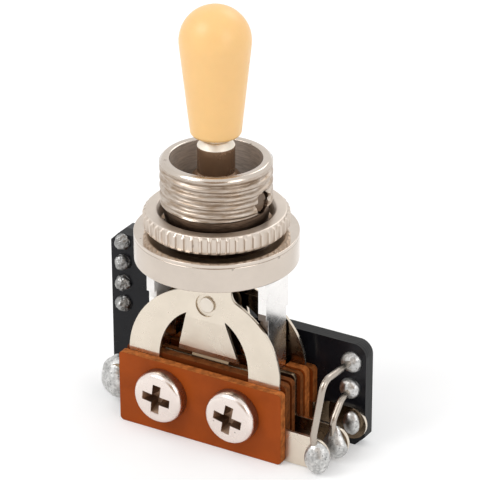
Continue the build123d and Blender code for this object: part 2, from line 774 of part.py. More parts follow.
os.makedirs("parts", exist_ok=True)
for name, part in parts.items():
    export_step(part, f"parts/{name}.step")
    print(name, len(part.solids()), round(part.volume, 2))
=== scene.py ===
import math

import bmesh
import bpy
from bpy.props import FloatProperty, FloatVectorProperty, IntProperty, PointerProperty
from bpy.types import Operator, Panel, PropertyGroup
from mathutils import Matrix, Vector, noise


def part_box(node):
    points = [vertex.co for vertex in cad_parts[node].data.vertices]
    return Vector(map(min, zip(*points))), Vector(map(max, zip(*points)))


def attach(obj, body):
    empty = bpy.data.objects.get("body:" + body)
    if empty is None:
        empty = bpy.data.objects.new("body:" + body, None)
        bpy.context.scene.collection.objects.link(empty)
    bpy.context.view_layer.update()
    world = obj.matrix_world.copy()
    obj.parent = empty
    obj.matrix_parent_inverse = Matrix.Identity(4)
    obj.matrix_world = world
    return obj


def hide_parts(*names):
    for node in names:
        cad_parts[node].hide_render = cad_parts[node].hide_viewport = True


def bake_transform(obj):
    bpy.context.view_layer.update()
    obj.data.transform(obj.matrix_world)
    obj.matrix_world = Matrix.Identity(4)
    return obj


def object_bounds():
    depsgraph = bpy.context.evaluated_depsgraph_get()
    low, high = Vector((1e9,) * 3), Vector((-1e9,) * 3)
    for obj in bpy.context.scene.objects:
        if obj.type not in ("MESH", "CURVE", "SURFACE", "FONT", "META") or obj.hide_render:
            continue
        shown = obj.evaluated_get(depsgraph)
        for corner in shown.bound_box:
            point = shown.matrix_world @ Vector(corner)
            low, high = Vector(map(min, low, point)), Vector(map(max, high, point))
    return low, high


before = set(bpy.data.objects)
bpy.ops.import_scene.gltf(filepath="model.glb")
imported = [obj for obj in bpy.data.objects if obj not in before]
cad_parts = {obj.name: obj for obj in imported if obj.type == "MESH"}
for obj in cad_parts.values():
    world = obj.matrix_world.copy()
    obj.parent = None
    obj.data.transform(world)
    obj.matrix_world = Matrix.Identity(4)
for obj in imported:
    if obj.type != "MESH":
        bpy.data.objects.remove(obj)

bl_info = {
    "name": "Lever toggle switch",
    "version": (1, 0, 0),
    "blender": (4, 5, 0),
    "location": "View3D > Sidebar > Switch",
    "description": "Builds a panel toggle switch with leaf contacts around its CAD frame",
    "category": "Add Mesh",
}

MM = 0.001
TURN = 2 * math.pi
ON_AXIS, SAME_POINT = 1e-9, 1e-7
TO_FRONT = Matrix.Rotation(math.pi / 2, 4, "X")    # turns what stands on Z towards the front
FIXED = "switch_body"
LEVER = "lever"
cad_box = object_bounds()


# --- Mesh helpers ---

def put(name, data):
    """A new object in the scene."""
    made = bpy.data.objects.new(name, data)
    bpy.context.scene.collection.objects.link(made)
    return made


def link(name, mesh, finishes, body, node):
    """A new piece in the scene, with its named finishes, its body and the CAD node that it stands for."""
    piece = put(name, mesh)
    for made in finishes if isinstance(finishes, tuple) else (finishes,):
        mesh.materials.append(material(made))
    if body:
        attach(piece, body)
    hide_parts(node)
    return piece


def choose_finish(mesh, choose):
    """Give each face the finish whose number choose(face) returns."""
    for face in mesh.polygons:
        face.material_index = choose(face)


def copy_piece(name, node, radius, finish, body=FIXED, segments=2):
    """A piece in the shape of its CAD node, with rounded edges."""
    return link(name, rounded_copy(name, node, radius, segments), finish, body, node)


def mesh_of(name, points, faces):
    mesh = bpy.data.meshes.new(name)
    mesh.from_pydata(points, [], faces)
    mesh.validate()
    return mesh


def filled(name, bm):
    """A mesh from the given bmesh, which is freed."""
    mesh = bpy.data.meshes.new(name)
    bm.to_mesh(mesh)
    bm.free()
    return mesh


def modified(mesh, kind, values):
    """The mesh after one modifier with the given values."""
    holder = put("holder", mesh)
    modifier = holder.modifiers.new(kind.title(), kind)
    for key, value in values.items():
        setattr(modifier, key, value)
    bpy.context.view_layer.update()
    graph = bpy.context.evaluated_depsgraph_get()
    result = bpy.data.meshes.new_from_object(holder.evaluated_get(graph))
    bpy.data.objects.remove(holder)
    result.name = mesh.name
    return result


def soften(mesh, degrees=40.0):
    """Smooth shading that stays sharp over the given angle and keeps large faces flat."""
    mesh.shade_smooth()
    mesh.set_sharp_from_angle(angle=math.radians(degrees))
    return modified(mesh, "WEIGHTED_NORMAL", {"keep_sharp": True, "weight": 60})


def rounded_copy(name, node, radius, segments=2, cuts=()):
    """The CAD node's own solids with every edge rounded. cuts are heights that get a loop of points."""
    flat, sharp = math.radians(0.3), math.radians(35)
    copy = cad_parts[node].data.copy()
    copy.transform(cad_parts[node].matrix_world)
    bm = bmesh.new()
    bm.from_mesh(copy)
    bmesh.ops.remove_doubles(bm, verts=bm.verts, dist=1e-6)
    bmesh.ops.dissolve_limit(bm, angle_limit=flat, verts=bm.verts, edges=bm.edges)
    bevel = {"width": radius, "segments": segments, "limit_method": "ANGLE", "angle_limit": sharp,
             "use_clamp_overlap": True}
    mesh = modified(filled(name, bm), "BEVEL", bevel)
    if cuts:
        bm = bmesh.new()
        bm.from_mesh(mesh)
        for height in cuts:
            geometry = bm.verts[:] + bm.edges[:] + bm.faces[:]
            bmesh.ops.bisect_plane(bm, geom=geometry, plane_co=(0, 0, height), plane_no=(0, 0, 1), dist=SAME_POINT)
        bm.to_mesh(mesh)
        bm.free()
    return soften(mesh)


def eased(points, radius, closed=False):
    """A polyline of (radius, height) points with each corner rounded."""
    out = []
    count, steps, longest_share = len(points), 3, 0.45
    for i, corner in enumerate(points):
        if not closed and i in (0, count - 1):
            out.append(corner)
            continue
        here = Vector(corner)
        to_before, to_after = Vector(points[i - 1]) - here, Vector(points[(i + 1) % count]) - here
        reach = min(radius, to_before.length * longest_share, to_after.length * longest_share)
        start = here + to_before.normalized() * reach
        end = here + to_after.normalized() * reach
        for step in range(steps + 1):
            t = step / steps
            out.append(tuple(start * (1 - t) ** 2 + here * (2 * t * (1 - t)) + end * t ** 2))
    return out


def lathe(name, profile, segments=96, closed=False, shift=None):
    """A solid of revolution about Z from (radius, height) points. shift(row, angle, r, z) may move a point."""
    points, faces, rings = [], [], []
    for row, (r, z) in enumerate(profile):
        count = 1 if r < ON_AXIS else segments
        rings.append(range(len(points), len(points) + count))
        for column in range(count):
            angle = TURN * column / segments
            rr, zz = shift(row, angle, r, z) if shift and count > 1 else (r, z)
            points.append((rr * math.cos(angle), rr * math.sin(angle), zz))
    for low, high in list(zip(rings, rings[1:])) + ([(rings[-1], rings[0])] if closed else []):
        for column in range(segments):
            after = (column + 1) % segments
            ends = (low[column % len(low)], low[after % len(low)], high[after % len(high)], high[column % len(high)])
            faces.append(tuple(dict.fromkeys(ends)))    # a ring of one point makes triangles
    return mesh_of(name, points, faces)


def ease(value):
    """A smooth step from 0 to 1."""
    value = min(1.0, max(0.0, value))
    return value * value * (3 - 2 * value)


def carved(mesh, tool_mesh, **extra):
    """The mesh with the tool's shape cut out of it."""
    tool = put("tool", tool_mesh)
    mesh = modified(mesh, "BOOLEAN", {"operation": "DIFFERENCE", "object": tool, "solver": "EXACT", **extra})
    bpy.data.objects.remove(tool)
    return mesh


def cut_back(name, node, radius, low, high):
    """A rounded copy of a CAD node with the box between two corners cut off."""
    return soften(carved(rounded_copy(name, node, radius), block(low, high)))


def drill(profile):
    """A turned tool along X, for cutting."""
    return moved(lathe("drill", profile, 64), Matrix.Rotation(math.pi / 2, 4, "Y"))


def loose_boxes(node):
    """The lowest and highest corner of each separate solid of a CAD node, the highest solid first."""
    bm = bmesh.new()
    bm.from_mesh(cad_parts[node].data)
    bmesh.ops.remove_doubles(bm, verts=bm.verts, dist=SAME_POINT)
    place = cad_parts[node].matrix_world
    left, boxes = set(bm.verts), []
    while left:
        spots, queue = [], [left.pop()]
        while queue:
            vert = queue.pop()
            spots.append(place @ vert.co)
            for edge in vert.link_edges:
                other = edge.other_vert(vert)
                if other in left:
                    left.discard(other)
                    queue.append(other)
        boxes.append((Vector(map(min, zip(*spots))), Vector(map(max, zip(*spots)))))
    bm.free()
    return sorted(boxes, key=lambda box: -box[1].z)


def block(low, high):
    """A box between two corners."""
    points = [(x, y, z) for x in (low[0], high[0]) for y in (low[1], high[1]) for z in (low[2], high[2])]
    sides = [(0, 1, 3, 2), (4, 6, 7, 5), (0, 4, 5, 1), (2, 3, 7, 6), (0, 2, 6, 4), (1, 5, 7, 3)]
    return mesh_of("block", points, sides)


def lump(centre, radii, seed, unevenness, taper=0.0, floor_y=None):
    """An uneven lump of solder. taper narrows its top, and floor_y is the face that it lies on."""
    broad_scale, fine_scale, pit_scale = 1.5, 4.5, 7.0
    fine_share, pit_share, pit_level = 0.35, 0.8, 0.3
    taper_start, taper_length = 0.6, 1.6
    bm = bmesh.new()
    bmesh.ops.create_icosphere(bm, subdivisions=5, radius=1.0)
    for vert in bm.verts:
        unit = vert.co.normalized()
        broad = noise.noise(unit * broad_scale + Vector((seed, 0, 0)))
        fine = noise.noise(unit * fine_scale + Vector((0, seed, 0)))
        pits = min(0.0, noise.noise(unit * pit_scale + Vector((0, 0, seed))) + pit_level)
        grow = 1 + unevenness * (broad + fine_share * fine + pit_share * pits)
        narrow = 1 - taper * ease((unit.z + taper_start) / taper_length)
        vert.co = Vector((unit.x * radii[0] * narrow, unit.y * radii[1] * narrow, unit.z * radii[2])) * grow
        vert.co += Vector(centre)
        if floor_y is not None:
            vert.co.y = min(vert.co.y, floor_y)
    return filled("lump", bm)


def moved(mesh, matrix):
    mesh.transform(matrix)
    mesh.update()
    return mesh


def joined(name, meshes):
    bm = bmesh.new()
    for mesh in meshes:
        bm.from_mesh(mesh)
    return filled(name, bm)


# --- Shader helpers ---

class Tree:
    """Short calls for a node tree: add() makes a node and joins or sets its inputs."""

    def __init__(self, tree):
        self.tree = tree

    def add(self, kind, inputs=None, **values):
        node = self.tree.nodes.new(kind)
        for key, value in values.items():
            setattr(node, key, value)
        for key, value in (inputs or {}).items():
            self.join(value, node.inputs[key])
        return node

    def join(self, value, socket):
        if isinstance(value, bpy.types.NodeSocket):
            self.tree.links.new(value, socket)
        else:
            socket.default_value = value

    def maths(self, operation, *values, clamp=False):
        inputs = dict(enumerate(values))
        return self.add("ShaderNodeMath", inputs, operation=operation, use_clamp=clamp).outputs[0]

    def span(self, value, low, high, to_low=0.0, to_high=1.0):
        inputs = {"Value": value, "From Min": low, "From Max": high, "To Min": to_low, "To Max": to_high}
        return self.add("ShaderNodeMapRange", inputs).outputs[0]

    def mix(self, factor, a, b, blend="MIX"):
        inputs = {0: factor, 6: a, 7: b}
        return self.add("ShaderNodeMix", inputs, data_type="RGBA", blend_type=blend).outputs[2]

    def spots(self, scale, detail, roughness=0.5, vector=None):
        inputs = {"Scale": scale, "Detail": detail, "Roughness": roughness}
        inputs["Vector"] = self.place() if vector is None else vector
        return self.add("ShaderNodeTexNoise", inputs).outputs[0]

    def place(self):
        return self.add("ShaderNodeTexCoord").outputs["Object"]


def fine_grain(shader, entry):
    """A height for bump and an even value for roughness."""
    fine = shader.spots(entry["Scale"], 4.0)
    coarse = shader.spots(shader.maths("MULTIPLY", entry["Scale"], 0.2), 2.0)
    return {"Height": shader.maths("MULTIPLY_ADD", fine, 0.7, 0.5),
            "Value": shader.maths("MULTIPLY", shader.maths("ADD", fine, coarse), 0.5)}


def small_specks(shader, entry):
    """Small pits and specks: a mask that is one in each speck."""
    cells = shader.add("ShaderNodeTexVoronoi", {"Vector": shader.place(), "Scale": entry["Scale"]}).outputs
    near = shader.maths("LESS_THAN", cells["Distance"], entry["Size"])
    pick = shader.add("ShaderNodeSeparateColor", {"Color": cells["Color"]}).outputs[0]
    return {"Mask": shader.maths("MULTIPLY", near, shader.maths("LESS_THAN", pick, entry["Amount"]))}


def broad_smudges(shader, entry):
    """Broad uneven patches, as handling and plating leave them."""
    broad = shader.span(shader.spots(entry["Scale"], 3.0, 0.6), 0.35, 0.65)
    return {"Value": shader.span(broad, 0.0, 1.0, entry["Low"], entry["High"])}


def tone_drift(shader, entry):
    """A colour that wanders between two tones."""
    broad = shader.span(shader.spots(entry["Scale"], 4.0, 0.6), 0.35, 0.65)
    return {"Color": shader.mix(broad, entry["Tone"], entry["Other"])}


def cut_edges(shader, entry):
    """A mask of the faces that don't look front or back, where a sheet was sawn or punched."""
    normal = shader.add("ShaderNodeTexCoord").outputs["Normal"]
    across = shader.maths("ABSOLUTE", shader.add("ShaderNodeSeparateXYZ", {0: normal}).outputs[1])
    return {"Mask": shader.span(across, entry["Low"], entry["High"], 1.0, 0.0)}


def turning_marks(shader, entry):
    """Marks that run round a turned piece: a height for bump and an uneven value."""
    stretch = shader.add("ShaderNodeCombineXYZ", {0: 1.0, 1: 1.0, 2: entry["Stretch"]}).outputs[0]
    along = shader.add("ShaderNodeVectorMath", {0: shader.place(), 1: stretch}, operation="MULTIPLY").outputs[0]
    streaks = shader.spots(entry["Scale"], 4.0, 0.65, along)
    return {"Height": streaks, "Value": shader.span(streaks, 0.36, 0.62)}


GROUPS = {
    "Fine grain": (fine_grain, {"Scale": 2000.0}),
    "Specks": (small_specks, {"Scale": 900.0, "Amount": 0.3, "Size": 0.2}),
    "Smudges": (broad_smudges, {"Scale": 250.0, "Low": 0.1, "High": 0.3}),
    "Tone drift": (tone_drift, {"Tone": (0.8, 0.8, 0.8, 1), "Other": (0.7, 0.7, 0.7, 1), "Scale": 300.0}),
    "Cut edges": (cut_edges, {"Low": 0.6, "High": 0.95}),
    "Turning marks": (turning_marks, {"Scale": 900.0, "Stretch": 9.0}),
}


def shared_group(name):
    """The named effect as a shader node group with named sockets, built on first use."""
    if name not in bpy.data.node_groups:
        recipe, inputs = GROUPS[name]
        tree = bpy.data.node_groups.new(name, "ShaderNodeTree")
        for label, default in inputs.items():
            kind = "NodeSocketColor" if isinstance(default, tuple) else "NodeSocketFloat"
            tree.interface.new_socket(label, in_out="INPUT", socket_type=kind).default_value = default
        shader = Tree(tree)
        made = recipe(shader, shader.add("NodeGroupInput").outputs)
        for label in made:
            kind = "NodeSocketColor" if label == "Color" else "NodeSocketFloat"
            tree.interface.new_socket(label, in_out="OUTPUT", socket_type=kind)
        shader.add("NodeGroupOutput", made)
    return bpy.data.node_groups[name]


def effect(shader, name, **values):
    """A shared group placed in a material with its own values."""
    return shader.add("ShaderNodeGroup", values, node_tree=shared_group(name)).outputs


def toned(tone, share=1.0):
    """A colour, or the finish setting of that name, with its brightness multiplied by share."""
    tone = getattr(settings().finish, tone) if isinstance(tone, str) else tone
    return (*(c * share for c in tuple(tone)[:3]), 1.0)


def drift(shader, tone, share, scale):
    """The tone, which wanders to the given share of its brightness."""
    return effect(shader, "Tone drift", Tone=toned(tone), Other=toned(tone, share), Scale=scale)["Color"]


def smudges(shader, low, high, scale=420.0):
    return effect(shader, "Smudges", Scale=scale, Low=low, High=high)["Value"]


def grain(shader, scale):
    return effect(shader, "Fine grain", Scale=scale)["Height"]


def plain(surface, **values):
    """Set inputs of the surface that are the same all over, with _ for the spaces in their names."""
    for key, value in values.items():
        surface[key.replace("_", " ")].default_value = value


def finish(shader, surface, colour, roughness, height, depth):
    """Join a colour, a roughness and a bump of the given depth to the surface's inputs."""
    shader.join(colour, surface["Base Color"])
    shader.join(roughness, surface["Roughness"])
    bump = shader.add("ShaderNodeBump", {"Height": height, "Distance": depth, "Strength": 1.0})
    shader.join(bump.outputs[0], surface["Normal"])


def material(name):
    """The material of that name in LOOKS, built on first use."""
    if name not in bpy.data.materials:
        made = bpy.data.materials.new(name)
        made.use_nodes = True
        LOOKS[name](Tree(made.node_tree), made.node_tree.nodes["Principled BSDF"].inputs)
    return bpy.data.materials[name]


# --- Settings ---

def length(name, default, description):
    return FloatProperty(name=name, default=default * MM, description=description, unit="LENGTH", precision=5)


def angle_of(name, degrees, description):
    return FloatProperty(name=name, default=math.radians(degrees), description=description, subtype="ANGLE")


def colour(name, default, part):
    return FloatVectorProperty(name=name, default=default, description="Colour of the " + part, subtype="COLOR",
                               size=3, min=0.0, max=1.0)


class FinishSettings(PropertyGroup):
    cream: colour("Cream plastic", (0.95, 0.585, 0.235), "moulded tip")
    nickel: colour("Nickel plate", (0.62, 0.545, 0.475), "plated bushing, nut and flange")
    thread: colour("Thread", (0.37, 0.28, 0.205), "cut thread")
    # The groove colour is painted shade on the plain band under the thread and on the cross hole's walls.
    groove: colour("Groove", (0.19, 0.135, 0.10), "plain band under the thread")
    bore: colour("Bore", (0.78, 0.70, 0.63), "bushing's bore")
    # The lever colour is a painted reflection: the nickel rod is toned dark brown as if mirroring the dark bore round
    # it.
    rod: colour("Lever", (0.22, 0.13, 0.075), "lever's rod")
    # The pivot pin colour is painted shade: a dark tone so the pin's end, sunk in the cross hole, looks shaded.
    pin: colour("Pivot pin", (0.12, 0.075, 0.045), "pivot pin")
    screw: colour("Screw plate", (0.84, 0.745, 0.69), "plated screws")
    sheet: colour("Frame plate", (0.90, 0.88, 0.86), "plated frame")
    # The recess colour is painted shade inside the screws' cross recesses.
    recess: colour("Recess", (0.30, 0.205, 0.145), "screws' recesses")
    leaf: colour("Nickel silver", (0.74, 0.66, 0.555), "spring leaves and tags")
    # This tone is painted shade on nickel silver that sits in shadow: the rear leaf, the fixed blades and the ground
    # plate.
    shaded: colour("Painted shade sheet", (0.24, 0.175, 0.115), "rear leaf, the blades and the ground plate")
    fibre: colour("Fibre", (0.355, 0.066, 0.007), "fibre plates' faces")
    fibre_edge: colour("Fibre edge", (0.52, 0.155, 0.035), "fibre plates' cut edges")
    board: colour("Board", (0.006, 0.006, 0.0075), "board's lacquered faces")
    board_edge: colour("Board edge", (0.034, 0.034, 0.034), "board's sawn edges")
    solder: colour("Solder", (0.66, 0.655, 0.64), "solder joints")
    wire: colour("Tinned wire", (0.45, 0.395, 0.34), "jumper wires")
    edge_round: length("Edge rounding", 0.07, "Radius of the broken edges of the metal pieces")


class BushingSettings(PropertyGroup):
    thread_r: length("Thread radius", 6.0, "Outer radius of the thread")
    pitch: length("Thread pitch", 1.0, "Distance between two turns of the thread")
    depth: length("Thread depth", 0.4, "Depth of the thread's grooves")
    thread_end: length("Thread end", -0.9, "Height where the cut thread ends over the nut")
    bore_r: length("Bore radius", 4.9, "Radius of the bore")
    relief_r: length("Relief radius", 5.5, "Radius below the thread")
    thread_bottom: length("Thread bottom", -1.9, "Height where the full thread starts")
    runout: length("Run-out", 0.5, "Height of the cone below the thread")
    rim_chamfer: length("Rim chamfer", 0.35, "Outer chamfer of the rim")
    bore_chamfer: length("Bore chamfer", 0.12, "Inner chamfer of the rim")
    flange_top: length("Flange top", -4.76, "Height of the flange's upper face")
    flange_thickness: length("Flange thickness", 2.83, "Thickness of the flange")
    flange_r: length("Flange radius", 8.85, "Radius of the flange")
    cross_hole_r: length("Cross hole radius", 1.23, "Radius of the hole for the pivot pin")
    hole_chamfer: length("Hole chamfer", 0.4, "Chamfer of the cross hole's mouths")


class LeverSettings(PropertyGroup):
    rod_r: length("Rod radius", 2.02, "Radius of the lever over its ball")
    shoulder_r: length("Shoulder radius", 1.6, "Radius of the rod's upper end")
    shoulder_height: length("Shoulder height", 0.74, "Height of the rod's chamfer")
    ball_r: length("Ball radius", 3.2, "Radius of the ball on the pivot pin")
    shank_r: length("Shank radius", 1.5, "Radius of the lever below its ball")
    spigot_r: length("Spigot radius", 0.9, "Radius of the lever's end in the shoe")
    stud_r: length("Stud radius", 1.4, "Radius of the stud in the tip")
    stud_length: length("Stud length", 9.0, "Length of the stud in the tip")
    pin_bore_r: length("Pin bore radius", 1.26, "Radius of the ball's hole for the pin")


class NutSettings(PropertyGroup):
    teeth: IntProperty(name="Teeth", default=50, min=12, description="Number of teeth round the nut")
    tooth_depth: length("Tooth depth", 0.3, "Depth of the grooves between the teeth")
    chamfer: length("Chamfer", 0.4, "Chamfer of the toothed rim")
    countersink: length("Countersink", 0.35, "Chamfer of the nut's hole")
    bore_r: length("Bore", 6.03, "Radius of the nut's hole")


class TipSettings(PropertyGroup):
    dome_r: length("Dome radius", 3.8, "Radius of the rounded end")
    taper: angle_of("Taper", 5.9, "Slope of the tip's side")
    edge_r: length("Edge radius", 0.5, "Rounding of the lower edge")
    bore_r: length("Bore radius", 1.45, "Radius of the hole for the lever's stud")


class ScrewSettings(PropertyGroup):
    head_r: length("Head radius", 3.0, "Radius of the screw heads")
    head_height: length("Head height", 1.7, "Height of the screw heads")
    shank_r: length("Shank radius", 1.45, "Radius of the screws")
    recess_length: length("Recess length", 3.42, "Length of the cross recess over two wings")
    recess_width: length("Recess width", 1.0, "Width of a wing of the cross recess")
    recess_depth: length("Recess depth", 1.25, "Depth of the cross recess")
    first_turn: angle_of("Left turn", -6.0, "Turn of the left screw's recess")
    second_turn: angle_of("Right turn", -10.0, "Turn of the right screw's recess")


class LeafSettings(PropertyGroup):
    bend_start: length("Bend start", -14.4, "Height where the leaves start to follow the lever")
    bend_end: length("Bend end", -11.1, "Height where the leaves follow the lever fully")
    ground_setback: length("Ground setback", 0.9, "How far the ground plate's and the spacer's tops are cut back")


class BoardSettings(PropertyGroup):
    pad_margin: length("Pad margin", 0.07, "Width of the pads beyond the solder joints")
    pad_height: length("Pad height", 0.04, "Height of the pads over the lacquer")
    header_lift: length("Header joint lift", 0.18, "Rise of the header's solder joints over their pins' middles")
    header_drop: length("Header drop", 0.8, "How far the header's upper edge is cut back")


class StageSettings(PropertyGroup):
    lens: FloatProperty(name="Lens", default=211.4, min=1.0, description="Focal length on a 36 mm sensor")
    distance: length("Distance", 300.0, "Distance from the camera to the point it looks at")
    azimuth: angle_of("Azimuth", 30.52, "Turn of the camera round the switch")
    elevation: angle_of("Elevation", 25.93, "Height of the camera over the horizon")
    roll: angle_of("Roll", -0.2, "Tilt of the picture")


class SwitchSettings(PropertyGroup):
    finish: PointerProperty(type=FinishSettings)
    bushing: PointerProperty(type=BushingSettings)
    lever: PointerProperty(type=LeverSettings)
    nut: PointerProperty(type=NutSettings)
    tip: PointerProperty(type=TipSettings)
    screw: PointerProperty(type=ScrewSettings)
    leaf: PointerProperty(type=LeafSettings)
    board: PointerProperty(type=BoardSettings)
    stage: PointerProperty(type=StageSettings)


def settings():
    return bpy.context.scene.lever_switch


# --- Materials: each look is a function that takes a node tree and its surface's inputs ---

def cream_plastic(shader, surface):
    finish(shader, surface, drift(shader, "cream", 0.95, 180.0), smudges(shader, 0.28, 0.38, 400.0),
           grain(shader, 2600.0), 0.000006)
    plain(surface, Subsurface_Weight=0.12, Subsurface_Scale=0.0015, Subsurface_Radius=(1.0, 0.6, 0.3))


def metal(tone, low, high, share=1.0, bump=0.00001, speck=0.25, speck_tone=0.55, scale=700.0, metallic=1.0):
    """A plated metal with smudges, fine pits and a faint grain. low and high bound its roughness."""
    def build(shader, surface):
        base = toned(tone, share)
        plain(surface, Metallic=metallic)
        mask = effect(shader, "Specks", Scale=scale, Amount=speck, Size=0.13)["Mask"]
        pitted = shader.mix(mask, drift(shader, base, 0.94, 350.0), toned(base, speck_tone))
        pits = shader.maths("MULTIPLY", mask, 0.2)
        rough = shader.maths("ADD", smudges(shader, low, high), pits, clamp=True)
        finish(shader, surface, pitted, rough, grain(shader, 1500.0), bump)
    return build


def turned_metal(tone, other, share, low, high, metallic=1.0):
    """A turned metal whose marks have the given share of the other tone."""
    def build(shader, surface):
        plain(surface, Metallic=metallic)
        marks = effect(shader, "Turning marks", Scale=650.0, Stretch=8.0)
        mixed = shader.mix(marks["Value"], toned(tone), toned(other, share))
        finish(shader, surface, mixed, smudges(shader, low, high), marks["Height"], 0.00002)
    return build


# Nickel silver whose front and back faces carry painted shade, while its cut edges keep the leaf's own tone.
def painted_shade_sheet(shader, surface):
    plain(surface, Metallic=1.0)
    cut = effect(shader, "Cut edges", Low=0.25, High=0.5)["Mask"]
    mixed = shader.mix(cut, drift(shader, "shaded", 0.6, 260.0), toned("leaf"))
    finish(shader, surface, mixed, smudges(shader, 0.2, 0.32), grain(shader, 1500.0), 0.00001)


def solder(share=1.0):
    """Solder with dull patches and dark pits."""
    def build(shader, surface):
        tone = toned("solder", share)
        plain(surface, Metallic=1.0)
        broad = effect(shader, "Tone drift", Tone=toned(tone, 1.25), Other=toned(tone, 0.8), Scale=700.0)["Color"]
        mottled = shader.mix(1.0, broad, smudges(shader, 1.0, 0.6, 3000.0), "MULTIPLY")
        mask = effect(shader, "Specks", Scale=3600.0, Amount=0.22, Size=0.3)["Mask"]
        pitted = shader.mix(mask, mottled, toned(tone, 0.4))
        finish(shader, surface, pitted, smudges(shader, 0.28, 0.46, 1200.0), grain(shader, 900.0), 0.00007)
    return build


def fibre(share=1.0):
    """Pressed fibre at the given share of the covers' brightness, where a share under one is painted shade, paler where
    it is cut.
    """
    def build(shader, surface):
        plain(surface, Specular_IOR_Level=0.12)
        face = drift(shader, toned("fibre", share), 0.8, 220.0)
        edge = drift(shader, toned("fibre_edge", share), 0.45, 1500.0)
        cut = effect(shader, "Cut edges", Low=0.6)["Mask"]
        rough = shader.maths("MULTIPLY_ADD", cut, 0.25, 0.5)
        height = shader.maths("MULTIPLY", grain(shader, 1800.0), shader.span(cut, 0.0, 1.0, 0.25, 1.0))
        finish(shader, surface, shader.mix(cut, face, edge), rough, height, 0.00008)
    return build


def black_plastic(shader, surface):
    tones = effect(shader, "Tone drift", Tone=(0.02, 0.02, 0.022, 1), Other=(0.028, 0.028, 0.03, 1), Scale=300.0)
    finish(shader, surface, tones["Color"], smudges(shader, 0.4, 0.55, 500.0), grain(shader, 2500.0), 0.00002)


def black_laminate(shader, surface):
    plain(surface, Specular_IOR_Level=0.2)
    wave = {"Scale": 900.0, "Distortion": 2.0, "Detail": 2.0, "Vector": shader.place()}
    layers = shader.add("ShaderNodeTexWave", wave, bands_direction="Y").outputs[1]
    edge = shader.mix(layers, toned("board_edge"), toned("board_edge", 0.6))
    cut = effect(shader, "Cut edges", Low=0.7)["Mask"]
    mixed = shader.mix(cut, drift(shader, "board", 1.6, 300.0), edge)
    height = shader.maths("MULTIPLY", grain(shader, 1600.0), shader.span(cut, 0.0, 1.0, 0.1, 1.0))
    finish(shader, surface, mixed, shader.span(cut, 0.0, 1.0, 0.2, 0.6), height, 0.00005)


def seen(shader):
    """One where the camera looks straight, by a reflection or through something clear."""
    rays = shader.add("ShaderNodeLightPath").outputs
    indirect = shader.maths("MAXIMUM", rays["Is Glossy Ray"], rays["Is Transmission Ray"])
    return shader.maths("MAXIMUM", rays["Is Camera Ray"], indirect)


def floor_paper(shader, surface):
    fibres = effect(shader, "Fine grain", Scale=300.0)["Value"]
    shader.join(shader.mix(fibres, (0.80, 0.80, 0.80, 1), (0.82, 0.82, 0.82, 1)), surface["Base Color"])
    plain(surface, Roughness=0.9, Specular_IOR_Level=0.1, Emission_Color=(1, 1, 1, 1))
    shader.join(shader.maths("MULTIPLY", seen(shader), 0.22), surface["Emission Strength"])


def brown_card(shader, surface):
    plain(surface, Base_Color=(0.0, 0.0, 0.0, 1), Roughness=1.0, Specular_IOR_Level=0.0,
          Emission_Color=(0.42, 0.30, 0.21, 1), Emission_Strength=1.0)


